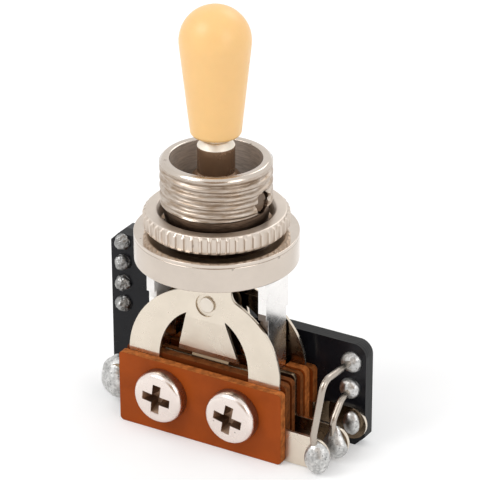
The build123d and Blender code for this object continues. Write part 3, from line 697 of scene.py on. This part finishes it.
LOOKS = {
    "Cream moulding": cream_plastic,
    # The rod's dark brown tone is a painted reflection of the dark bore round it.
    "Dark lever rod": metal("rod", 0.22, 0.3, bump=0.000006, speck=0.1, speck_tone=0.7, metallic=0.6),
    # The shoulder's pale tone is a painted highlight where the chamfer faces up to the light.
    "Worn shoulder": metal((0.90, 0.84, 0.74), 0.5, 0.65, bump=0.00005, speck=0.2, speck_tone=0.6),
    "Black moulding": black_plastic,
    # Painted shade on the pin, with specks at two and a half times its brightness as painted glints.
    "Pivot pin steel": metal("pin", 0.16, 0.26, bump=0.00003, speck=0.3, speck_tone=2.5, scale=1500.0),
    "Bright nickel plate": metal("nickel", 0.14, 0.26, speck=0.12, speck_tone=0.7),
    "Cut thread": turned_metal("thread", "nickel", 0.9, 0.3, 0.42),
    # Painted shade for the band under the thread and the cross hole's walls.
    "Dark groove": turned_metal("groove", "groove", 0.5, 0.3, 0.4),
    "Satin bore": turned_metal("bore", "bore", 0.7, 0.4, 0.5, 0.45),
    "Knurled nickel": metal("nickel", 0.34, 0.46, 1.1, bump=0.00002, speck=0.1, speck_tone=0.75),
    "Smooth washer plate": metal("nickel", 0.07, 0.14, 1.05, bump=0.000006, speck=0.2, speck_tone=0.6),
    "Bright frame sheet": metal("sheet", 0.2, 0.3, bump=0.000006, speck=0.1, speck_tone=0.8),
    # A lighter, more diffuse copy of the frame sheet: painted light on the left leg's upper part, which sits in shade.
    "Pale leg": metal("sheet", 0.4, 0.5, 1.04, bump=0.000006, speck=0.1, speck_tone=0.8, metallic=0.15),
    # A dark tone for the right leg's lower front and back edges: painted shade behind the leaf's arch.
    "Punched edge": metal((0.17, 0.14, 0.12), 0.3, 0.42),
    "Pressed fibre": fibre(),
    # Painted shade on the plates between the leaves and behind the covers.
    "Dark pressed fibre": fibre(0.4),
    "Shaded pressed fibre": fibre(0.65),
    "Nickel silver sheet": metal("leaf", 0.24, 0.36, speck=0.12, speck_tone=0.8, scale=500.0),
    "Dull nickel silver": painted_shade_sheet,
    # The fixed blades' dark tone is painted shade between the fibre plates.
    "Dark blade": metal("shaded", 0.24, 0.36, 1.25),
    "Shaded plate": metal("shaded", 0.24, 0.36, 0.9),
    "Silver contact": metal((0.76, 0.69, 0.60), 0.3, 0.4),
    "Plain steel": metal((0.56, 0.55, 0.54), 0.22, 0.36),
    "Screw plate": metal("screw", 0.2, 0.34, bump=0.00002, speck=0.3, speck_tone=0.6, scale=1100.0),
    # Painted shade inside the cross recesses.
    "Dark recess": metal("recess", 0.3, 0.45, bump=0.00003, speck=0.3, speck_tone=0.4, scale=1500.0),
    # The heads' sides are toned dark brown as painted shade and reflection of the shaded fibre.
    "Screw side": metal((0.36, 0.29, 0.24), 0.24, 0.36, bump=0.00003, speck=0.3, speck_tone=0.5, scale=1200.0),
    "Lacquered board": black_laminate,
    "Gilt pin": metal((0.86, 0.62, 0.28), 0.12, 0.24),
    "Tinned wire": metal("wire", 0.2, 0.34, bump=0.00002, speck=0.1),
    "Dull solder": solder(0.58),
    "Uneven solder": solder(),
    "White floor": floor_paper,
    "Brown card": brown_card,
}


# --- Pieces ---

class SWITCH_OT_tip(Operator):
    """Build the moulded tip that is screwed on the lever's stud"""
    bl_idname = "lever_switch.tip"
    bl_label = "Tip"

    def execute(self, context):
        tip = settings().tip
        bore_depth, edge_steps, side_steps, dome_steps = 8.9 * MM, 8, 8, 24
        low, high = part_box("toggle_tip")
        bottom, centre = low.z, high.z - tip.dome_r
        tangent = (tip.dome_r * math.cos(tip.taper), centre - tip.dome_r * math.sin(tip.taper))
        bottom_r = tangent[0] - (tangent[1] - bottom) * math.tan(tip.taper)
        bore_top = bottom + bore_depth
        profile = [(0.0, bore_top), (tip.bore_r, bore_top), (tip.bore_r, bottom)]
        for step in range(edge_steps + 1):
            angle = math.pi / 2 * step / edge_steps
            profile.append((bottom_r - tip.edge_r * (1 - math.sin(angle)), bottom + tip.edge_r * (1 - math.cos(angle))))
        edge_end = profile[-1]
        for step in range(1, side_steps + 1):
            t = step / side_steps
            profile.append((edge_end[0] * (1 - t) + tangent[0] * t, edge_end[1] * (1 - t) + tangent[1] * t))
        for step in range(1, dome_steps + 1):
            angle = -tip.taper + (math.pi / 2 + tip.taper) * step / dome_steps
            r = tip.dome_r * math.cos(angle) if step < dome_steps else 0.0
            profile.append((r, centre + tip.dome_r * math.sin(angle)))
        mesh = soften(lathe("toggle_tip_moulding", profile), 60)
        link("toggle_tip_moulding", mesh, "Cream moulding", LEVER,
             "toggle_tip")
        return {"FINISHED"}


class SWITCH_OT_lever(Operator):
    """Build the lever with its ball, its shoe and the pivot pin"""
    bl_idname = "lever_switch.lever"
    bl_label = "Lever"

    def execute(self, context):
        size, edge = settings().lever, settings().finish.edge_round
        ball_steps, bore_reach = 32, 2 * size.ball_r
        low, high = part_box("lever")
        shoe_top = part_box("lever_shoe")[1].z
        shoulder = high.z - size.stud_length
        shoulder_foot = shoulder - size.shoulder_height
        below = -math.sqrt(size.ball_r ** 2 - size.shank_r ** 2)
        above = math.sqrt(size.ball_r ** 2 - size.rod_r ** 2)
        foot = [(0.0, low.z), (size.spigot_r, low.z), (size.spigot_r, shoe_top), (size.shank_r, shoe_top),
                (size.shank_r, below)]
        start, stop = math.asin(below / size.ball_r), math.asin(above / size.ball_r)
        angles = [start + (stop - start) * step / ball_steps for step in range(1, ball_steps)]
        ball = [(size.ball_r * math.cos(angle), size.ball_r * math.sin(angle)) for angle in angles]
        rod = [(size.rod_r, above), (size.rod_r, shoulder_foot), (size.shoulder_r, shoulder),
               (size.stud_r, shoulder), (size.stud_r, high.z), (0.0, high.z)]
        bore = drill([(0.0, -bore_reach), (size.pin_bore_r, -bore_reach), (size.pin_bore_r, bore_reach),
                      (0.0, bore_reach)])
        mesh = soften(carved(lathe("lever_rod", eased(foot, edge) + ball + eased(rod, edge)), bore), 30)
        link("lever_rod", mesh, ("Dark lever rod", "Worn shoulder"), LEVER, "lever")
        # Faces over the chamfer's foot take the shoulder's painted highlight; the rod below takes the painted
        # reflection.
        choose_finish(mesh, lambda face: int(face.center.z > shoulder_foot))
        copy_piece("shoe_block", "lever_shoe", edge * 1.5, "Black moulding", LEVER)
        copy_piece("pivot_rod", "pivot_pin", 0.45 * MM, "Pivot pin steel", segments=4)
        return {"FINISHED"}


class SWITCH_OT_bushing(Operator):
    """Build the flanged bushing with its cut thread and cross hole"""
    bl_idname = "lever_switch.bushing"
    bl_label = "Bushing"

    def execute(self, context):
        size = settings().bushing
        foot_r, rows, segments = 5.6 * MM, 84, 160
        low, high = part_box("bushing")
        rim = high.z
        thread_top = rim - size.rim_chamfer
        cone = size.thread_bottom - size.runout
        bottom = size.flange_top - size.flange_thickness
        inner = [(size.bore_r, rim - size.bore_chamfer), (size.bore_r, low.z), (foot_r, low.z), (foot_r, bottom),
                 (size.flange_r, bottom), (size.flange_r, size.flange_top), (size.relief_r, size.flange_top),
                 (size.relief_r, cone)]
        profile = [inner[0], *eased(inner, 0.15 * MM)[1:-1], inner[-1]]
        first_thread = len(profile)
        profile += [(size.thread_r, cone + (thread_top - cone) * row / rows) for row in range(rows + 1)]
        last_thread = len(profile)
        lip = [(size.thread_r - 0.02 * MM, thread_top + 0.02 * MM), (size.thread_r - size.rim_chamfer, rim),
               (size.bore_r + size.bore_chamfer, rim), (size.bore_r, rim - size.bore_chamfer)]
        profile += eased(lip, 0.1 * MM)[1:-1]
        crest, flank = 0.16, 0.7
        fade_gap, fade_length, end_length, foot_length = 0.1 * MM, 0.7 * MM, 0.25 * MM, 0.1 * MM

        def cut(row, angle, r, z):
            if not first_thread <= row < last_thread:
                return r, z
            phase = (z / size.pitch + angle / TURN) % 1.0
            groove = ease((abs(phase - 0.5) * 2 - crest) / flank)
            fade = ease((thread_top - fade_gap - z) / fade_length)
            plain = ease((size.thread_end - z) / end_length)
            foot = ease((z - cone) / foot_length)
            depth = size.depth * max(groove * fade, plain)
            return r - max(depth, (size.thread_r - size.relief_r) * (1 - foot)), z

        mouth = size.thread_r - size.hole_chamfer
        reach = size.thread_r + size.hole_chamfer
        flare = size.cross_hole_r + 2 * size.hole_chamfer
        tool = drill([(0.0, -reach), (flare, -reach), (size.cross_hole_r, -mouth), (size.cross_hole_r, mouth),
                      (flare, reach), (0.0, reach)])
        mesh = soften(carved(lathe("bushing_turned", profile, segments, True, cut), tool), 50)
        plate, thread, groove, bore = range(4)
        finishes = ("Bright nickel plate", "Cut thread", "Dark groove", "Satin bore")
        link("bushing_turned", mesh, finishes, FIXED, "bushing")
        hole_margin, bore_margin, thread_margin, lip_margin = 0.03 * MM, 0.02 * MM, 0.1 * MM, 0.3 * MM

        def choose(face):
            x, y, z = face.center
            r = math.hypot(x, y)
            # The cross hole's walls take the groove's painted shade.
            if math.hypot(y, z) < size.cross_hole_r + hole_margin and r > size.bore_r:
                return groove
            if r < size.bore_r + bore_margin:
                return bore
            # The plain band under the thread takes the groove's painted shade.
            if r < size.thread_r + thread_margin and size.flange_top < z < size.thread_end - thread_margin:
                return groove
            if size.thread_end - thread_margin <= z < thread_top and r > size.bore_r + lip_margin:
                return thread
            return plate

        choose_finish(mesh, choose)
        return {"FINISHED"}


class SWITCH_OT_nut(Operator):
    """Build the knurled ring nut and the flange washer"""
    bl_idname = "lever_switch.nut"
    bl_label = "Nut and washer"

    def execute(self, context):
        size = settings().nut
        per_tooth, groove_half, flank = 16, 0.58, 0.16
        low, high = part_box("knurled_nut")
        outer, mouth = high.x, size.bore_r + size.countersink
        section = [(size.bore_r, low.z + size.countersink), (mouth, low.z), (outer - size.chamfer, low.z),
                   (outer, low.z + size.chamfer), (outer, high.z - size.chamfer), (outer - size.chamfer, high.z),
                   (mouth, high.z), (size.bore_r, high.z - size.countersink)]

        def knurl(row, angle, r, z):
            phase = (angle * size.teeth / TURN) % 1.0
            ridge = ease((abs(phase - 0.5) * 2 - groove_half) / flank)
            return min(r, outer - size.tooth_depth * (1 - ridge)), z

        mesh = lathe("ring_nut", eased(section, 0.1 * MM, True), size.teeth * per_tooth, True, knurl)
        link("ring_nut", soften(mesh, 55), "Knurled nickel", FIXED, "knurled_nut")
        hole_r = 6.1 * MM
        low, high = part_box("flange_washer")
        ring = eased([(hole_r, low.z), (high.x, low.z), (high.x, high.z), (hole_r, high.z)], 0.07 * MM, True)
        link("washer_ring", soften(lathe("washer_ring", ring, 128, True)), "Smooth washer plate", FIXED,
             "flange_washer")
        return {"FINISHED"}


class SWITCH_OT_frame(Operator):
    """Build the folded frame that carries the contact stacks"""
    bl_idname = "lever_switch.frame"
    bl_label = "Frame"

    def execute(self, context):
        # pale_foot is where the left leg's painted light stops; dark_head is where the right leg's painted shade on its
        # edges stops.
        pale_foot, dark_head, sideways = -13.5 * MM, -11.8 * MM, 0.8
        mesh = rounded_copy("folded_frame", "frame", settings().finish.edge_round, cuts=(pale_foot, dark_head))
        bright, pale, dark = range(3)
        finishes = ("Bright frame sheet", "Pale leg", "Punched edge")
        link("folded_frame", mesh, finishes, FIXED, "frame")

        def choose(face):
            x, z = face.center.x, face.center.z
            # The right leg's front and back edges under dark_head take painted shade.
            if abs(face.normal.y) > sideways and z < dark_head and x > 0:
                return dark
            # The left leg's upper part takes the painted light copy.
            return pale if x < 0 and z > pale_foot else bright

        choose_finish(mesh, choose)
        return {"FINISHED"}


# Plates that are not listed take the darker painted shade; the rear cover takes a lighter painted shade.
PLATE_LOOKS = {"front_cover": "Pressed fibre", "rear_middle": "Pressed fibre", "rear_cover": "Shaded pressed fibre"}


class SWITCH_OT_plates(Operator):
    """Build the fibre plates and covers of both contact stacks"""
    bl_idname = "lever_switch.plates"
    bl_label = "Fibre plates"

    def execute(self, context):
        radius = settings().finish.edge_round * 1.3
        for side in ("front", "rear"):
            for layer in ("cover", "middle", "inner"):
                label = f"{side}_{layer}"
                look = PLATE_LOOKS.get(label, "Dark pressed fibre")
                copy_piece(label + "_fibre", label + "_plate", radius, look)
        return {"FINISHED"}


class SWITCH_OT_leaves(Operator):
    """Build the spring leaves, the fixed blades and their rivets, with loops of points across the heights where they
    would bend
    """
    bl_idname = "lever_switch.leaves"
    bl_label = "Leaves and contacts"

    def execute(self, context):
        size, steps = settings().leaf, 12
        cuts = [size.bend_start + (size.bend_end - size.bend_start) * step / steps for step in range(steps + 1)]
        # The rear leaf takes painted shade; the front leaf keeps its own tone.
        for side, leaf_finish in (("front", "Nickel silver sheet"), ("rear", "Dull nickel silver")):
            for name, cad_name, made, slot in (
                ("leaf", "spring_leaf", leaf_finish, "nickel_silver"),
                ("leaf_rivet", "leaf_contact", "Silver contact", "contact_silver"),
                ("fixed_blade", "fixed_contact", "Dark blade", "nickel_silver"),
                ("blade_rivet", "fixed_rivet", "Silver contact", "contact_silver"),
            ):
                label, node = f"{side}_{name}", f"{side}_{cad_name}"
                piece = link(label, rounded_copy(label, node, 0.05 * MM, cuts=cuts), made, None, node)
                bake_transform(piece)
        return {"FINISHED"}


class SWITCH_OT_middle(Operator):
    """Build the ground plate, the spacer and the screws' sleeves between the stacks"""
    bl_idname = "lever_switch.middle"
    bl_label = "Middle layer"

    def execute(self, context):
        edge = 0.05 * MM
        high, spacer_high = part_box("ground_plate")[1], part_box("centre_spacer")[1]
        drop = min(high.z, spacer_high.z) - settings().leaf.ground_setback
        over = ((-high.x, -high.x, drop), (high.x, high.x, 0.0))
        sheet = cut_back("ground_sheet", "ground_plate", edge, *over)
        link("ground_sheet", sheet, ("Dull nickel silver", "Shaded plate"), FIXED, "ground_plate")
        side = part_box("front_cover_plate")[1].x
        # The ground plate's middle, between the covers, takes a darker painted shade than its ends.
        choose_finish(sheet, lambda face: int(face.center.x < side))
        spacer = cut_back("spacer_block", "centre_spacer", edge, *over)
        link("spacer_block", spacer, "Plain steel", FIXED, "centre_spacer")
        copy_piece("sleeves", "screw_sleeves", edge, "Black moulding")
        return {"FINISHED"}


SCREW_PITCH = 0.5 * MM
CROWN_DROP = 0.12 * MM      # how far the head's top falls before its rounding starts
HEAD_ROUNDING = 0.75 * MM   # height of the rounding


def screw_blank(size, shank_end):
    """A screw with a domed head over zero and its threaded shank below."""
    crown_share, rounding_share, thread_depth, rim, tip_step = 0.8, 0.2, 0.22 * MM, 0.06 * MM, 0.25 * MM
    crown_steps, rounding_steps, rows_per_turn = 8, 6, 8
    profile = [(0.0, size.head_height)]
    for step in range(1, crown_steps + 1):
        t = step / crown_steps
        profile.append((size.head_r * crown_share * t, size.head_height - CROWN_DROP * t * t))
    for step in range(1, rounding_steps + 1):
        angle = math.pi / 2 * step / rounding_steps
        profile.append((size.head_r * (crown_share + rounding_share * math.sin(angle)),
                        size.head_height - CROWN_DROP - HEAD_ROUNDING * (1 - math.cos(angle))))
    profile += [(size.head_r, rim), (size.head_r - rim, 0.0), (size.shank_r, 0.0)]
    first = len(profile)
    rows = int(shank_end / SCREW_PITCH) * rows_per_turn
    profile += [(size.shank_r, -shank_end * row / rows) for row in range(1, rows)]
    last = len(profile)
    profile += [(size.shank_r - tip_step, -shank_end), (0.0, -shank_end)]

    def cut(row, angle, r, z):
        if not first <= len(profile) - 1 - row < last:
            return r, z
        phase = (z / SCREW_PITCH + angle / TURN) % 1.0
        return r - thread_depth * abs(phase - 0.5) * 2, z

    return lathe("screw", profile[::-1], 48, False, cut)


def cross_tool(size, turn):
    """The two wings that cut a screw's recess, turned about Z."""
    half_l, half_w = size.recess_length / 2, size.recess_width / 2
    # Shares of the length, the width and the depth, from over the head down to the recess's floor
    sections = ((1.1, 1.05, -0.3), (1.0, 1.0, 0.1), (0.6, 0.66, 1.0))
    cross = bmesh.new()
    for wing in (0, 1):
        rows = []
        for along, across, drop in sections:
            z = size.head_height - drop * size.recess_depth
            rows.append([cross.verts.new((sx * half_l * along, sy * half_w * across, z))
                         for sx, sy in ((1, 1), (-1, 1), (-1, -1), (1, -1))])
        for upper, lower in zip(rows, rows[1:]):
            for i in range(4):
                after = (i + 1) % 4
                cross.faces.new((upper[i], upper[after], lower[after], lower[i]))
        cross.faces.new(rows[0])
        cross.faces.new(rows[-1][::-1])
        if wing == 0:
            bmesh.ops.rotate(cross, verts=cross.verts, cent=(0, 0, 0), matrix=Matrix.Rotation(math.pi / 2, 3, "Z"))
    bmesh.ops.recalc_face_normals(cross, faces=cross.faces)
    bmesh.ops.rotate(cross, verts=cross.verts, cent=(0, 0, 0), matrix=Matrix.Rotation(turn, 3, "Z"))
    return filled("cross", cross)


class SWITCH_OT_screws(Operator):
    """Build the clamping screws with their cross recess, and the nuts behind the board"""
    bl_idname = "lever_switch.screws"
    bl_label = "Screws and nuts"

    def execute(self, context):
        size = settings().screw
        low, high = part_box("clamp_screws")
        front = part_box("front_cover_plate")[0].y
        centre_x, centre_z = high.x - size.head_r, (low.z + high.z) / 2
        recess_r, recess_low, recess_high = size.recess_length * 0.55, 0.2 * MM, size.head_height - 0.15 * MM
        side_high = size.head_height - HEAD_ROUNDING
        plate, recess, side = range(3)

        def choose(face):
            r, z = math.hypot(face.center.x, face.center.y), face.center.z
            # Faces inside the cross, under the head's top, take the recess's painted shade.
            if r < recess_r:
                return recess if recess_low < z < recess_high else plate
            # The head's side under its rounding takes the side's painted shade.
            return side if 0.0 < z < side_high else plate

        screws = []
        for x, turn in ((-centre_x, size.first_turn), (centre_x, size.second_turn)):
            mesh = carved(screw_blank(size, high.y - front), cross_tool(size, turn), use_self=True)
            choose_finish(mesh, choose)
            assert any(face.material_index == recess for face in mesh.polygons), "the recess has no faces"
            screws.append(moved(mesh, Matrix.Translation((x, front, centre_z)) @ TO_FRONT))
        finishes = ("Screw plate", "Dark recess", "Screw side")
        link("cross_screws", soften(joined("cross_screws", screws)), finishes, FIXED, "clamp_screws")
        copy_piece("hex_nuts", "clamp_nuts", 0.06 * MM, "Screw plate")
        return {"FINISHED"}


class SWITCH_OT_board(Operator):
    """Build the connection board and the pin header"""
    bl_idname = "lever_switch.board"
    bl_label = "Board and header"

    def execute(self, context):
        copy_piece("laminate", "circuit_board", 0.06 * MM, "Lacquered board")
        low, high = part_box("header_housing")
        over = (2 * low.x, 0.0, high.z - settings().board.header_drop), (0.0, 2 * high.y, 0.0)
        header = cut_back("header_body", "header_housing", 0.08 * MM, *over)
        link("header_body", header, "Black moulding", FIXED, "header_housing")
        copy_piece("header_prongs", "header_pins", 0.05 * MM, "Gilt pin")
        return {"FINISHED"}


class SWITCH_OT_wires(Operator):
    """Build the two bare jumper wires"""
    bl_idname = "lever_switch.wires"
    bl_label = "Jumper wires"

    def execute(self, context):
        copy_piece("jumpers", "jumper_wires", 0.02 * MM, "Tinned wire")
        return {"FINISHED"}


class SWITCH_OT_solder(Operator):
    """Build the solder joints on the board with their pads, and the lumps on the tags"""
    bl_idname = "lever_switch.solder"
    bl_label = "Solder"

    def execute(self, context):
        pads = settings().board
        board_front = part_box("circuit_board")[0].y
        joint_share, seed_step, tag_height_share = 1.1, 2.7, 1.04
        for node, seed, lift, unevenness, made in (
            ("header_solder", 3.0, pads.header_lift, 0.18, "Dull solder"),
            ("jumper_solder", 11.0, 0.0, 0.07, "Uneven solder"),
        ):
            joints, rings = [], []
            for index, (low, high) in enumerate(loose_boxes(node)):
                centre, half = (low + high) / 2, (high - low) / 2
                radius = min(half.x, half.z)
                centre.z += lift
                radii = (radius * joint_share, half.y * 2, radius * joint_share)
                joints.append(lump((centre.x, high.y, centre.z), radii, seed + index * seed_step, unevenness,
                                   floor_y=high.y))
                ring = lathe("pad", [(0.0, 0.0), (radius + pads.pad_margin, 0.0), (radius, pads.pad_height),
                                     (0.0, pads.pad_height)], 48)
                rings.append(moved(ring, Matrix.Translation((centre.x, board_front, centre.z)) @ TO_FRONT))
            name = node.replace("solder", "joints")
            link(name, soften(joined(name, joints + rings)), made, FIXED, node)
        for node, seed, unevenness, taper, wider, shift in (
            ("front_tag_solder", 21.0, 0.07, 0.1, 1.2, (0.1, 0, 0)),
            ("ground_tag_solder", 34.0, 0.05, 0.5, 1.4, (0.25, 0, 0)),
            ("rear_tag_solder", 47.0, 0.04, 0.0, 1.0, (0, 0, 0)),
            ("output_tag_solder", 58.0, 0.05, 0.0, 1.05, (-0.2, -0.35, -0.35)),
        ):
            low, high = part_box(node)
            half = (high - low) / 2
            centre = (low + high) / 2 + Vector(shift) * MM
            mesh = lump(centre, (half.x * wider, half.y, half.z * tag_height_share), seed, unevenness, taper)
            link(node.replace("solder", "joint"), soften(mesh), "Uneven solder", FIXED, node)
        return {"FINISHED"}


# --- Stage ---

TARGET_ASIDE, TARGET_HEIGHT = 2.475 * MM, -5.741 * MM    # the point that the camera looks at
FLOOR_GAP, FLOOR_HALF = 0.02 * MM, 2.0
CARD_HALVES, CARD_DISTANCE = (0.2, 0.15), 1.6            # the card stands behind the camera, in camera distances
LIGHT_AIM = (0, 0, -0.01)
LIGHTS = (    # name, place, width and power
    ("key_light", (-0.25, -0.35, 0.45), 0.30, 1.2),
    ("fill_light", (0.45, -0.15, 0.25), 0.25, 0.4),
    ("back_light", (0.05, 0.40, 0.35), 0.25, 0.4),
)


def rectangle(name, half_x, half_y, z, made):
    """A level rectangle that belongs to the stage."""
    corners = [(-half_x, -half_y, z), (half_x, -half_y, z), (half_x, half_y, z), (-half_x, half_y, z)]
    piece = put(name, mesh_of(name, corners, [(0, 1, 2, 3)]))
    piece.data.materials.append(material(made))
    return piece


class SWITCH_OT_stage(Operator):
    """Build the pale floor, the soft lights and the camera"""
    bl_idname = "lever_switch.stage"
    bl_label = "Stage"

    def execute(self, context):
        scene, stage = context.scene, settings().stage
        turn, rise = stage.azimuth, stage.elevation
        right = Vector((math.cos(turn), math.sin(turn), 0.0))
        target = right * TARGET_ASIDE + Vector((0.0, 0.0, TARGET_HEIGHT))
        away = Vector((math.sin(turn) * math.cos(rise), -math.cos(turn) * math.cos(rise), math.sin(rise)))
        data = bpy.data.cameras.new("camera")
        data.lens, data.sensor_width = stage.lens, 36.0
        data.clip_start, data.clip_end = 0.01, 20.0
        camera = put("camera", data)
        camera.location = target + away * stage.distance
        look = (-away).to_track_quat("-Z", "Y").to_matrix().to_4x4()
        camera.matrix_world = Matrix.Translation(camera.location) @ look @ Matrix.Rotation(stage.roll, 4, "Z")
        scene.camera = camera

        rectangle("floor", FLOOR_HALF, FLOOR_HALF, cad_box[0][2] - FLOOR_GAP, "White floor")
        for name, place, width, power in LIGHTS:
            lamp = bpy.data.lights.new(name, "AREA")
            lamp.shape, lamp.size, lamp.energy = "SQUARE", width, power
            holder = put(name, lamp)
            holder.location = place
            holder.rotation_euler = (Vector(LIGHT_AIM) - Vector(place)).to_track_quat("-Z", "Y").to_euler()
        card = rectangle("dark_card", *CARD_HALVES, 0.0, "Brown card")
        card.matrix_world = Matrix.Translation(target + away * stage.distance * CARD_DISTANCE) @ look
        card.visible_camera = card.visible_diffuse = card.visible_shadow = card.visible_transmission = False

        world = bpy.data.worlds.new("studio")
        scene.world = world
        world.use_nodes = True
        shader = Tree(world.node_tree)
        ambient = world.node_tree.nodes["Background"].inputs
        shader.join(shader.span(seen(shader), 0.0, 1.0, 0.8, 1.0), ambient["Strength"])
        ambient["Color"].default_value = (1, 1, 1, 1)
        scene.view_settings.view_transform = "Standard"
        return {"FINISHED"}


BUILDERS = (SWITCH_OT_tip, SWITCH_OT_lever, SWITCH_OT_bushing, SWITCH_OT_nut, SWITCH_OT_frame, SWITCH_OT_plates,
            SWITCH_OT_leaves, SWITCH_OT_middle, SWITCH_OT_screws, SWITCH_OT_board, SWITCH_OT_wires, SWITCH_OT_solder,
            SWITCH_OT_stage)


class SWITCH_PT_panel(Panel):
    """The switch's builders in the sidebar"""
    bl_idname = "SWITCH_PT_panel"
    bl_label = "Lever toggle switch"
    bl_space_type = "VIEW_3D"
    bl_region_type = "UI"
    bl_category = "Switch"

    def draw(self, context):
        for builder in BUILDERS:
            self.layout.operator(builder.bl_idname)


CLASSES = (FinishSettings, BushingSettings, LeverSettings, NutSettings, TipSettings, ScrewSettings, LeafSettings,
           BoardSettings, StageSettings, SwitchSettings) + BUILDERS + (SWITCH_PT_panel,)


def register():
    for cls in CLASSES:
        bpy.utils.register_class(cls)
    bpy.types.Scene.lever_switch = PointerProperty(type=SwitchSettings)


def unregister():
    del bpy.types.Scene.lever_switch
    for cls in reversed(CLASSES):
        bpy.utils.unregister_class(cls)


def main():
    register()
    for builder in BUILDERS:
        group, name = builder.bl_idname.split(".")
        getattr(getattr(bpy.ops, group), name)()


if __name__ == "__main__":
    main()
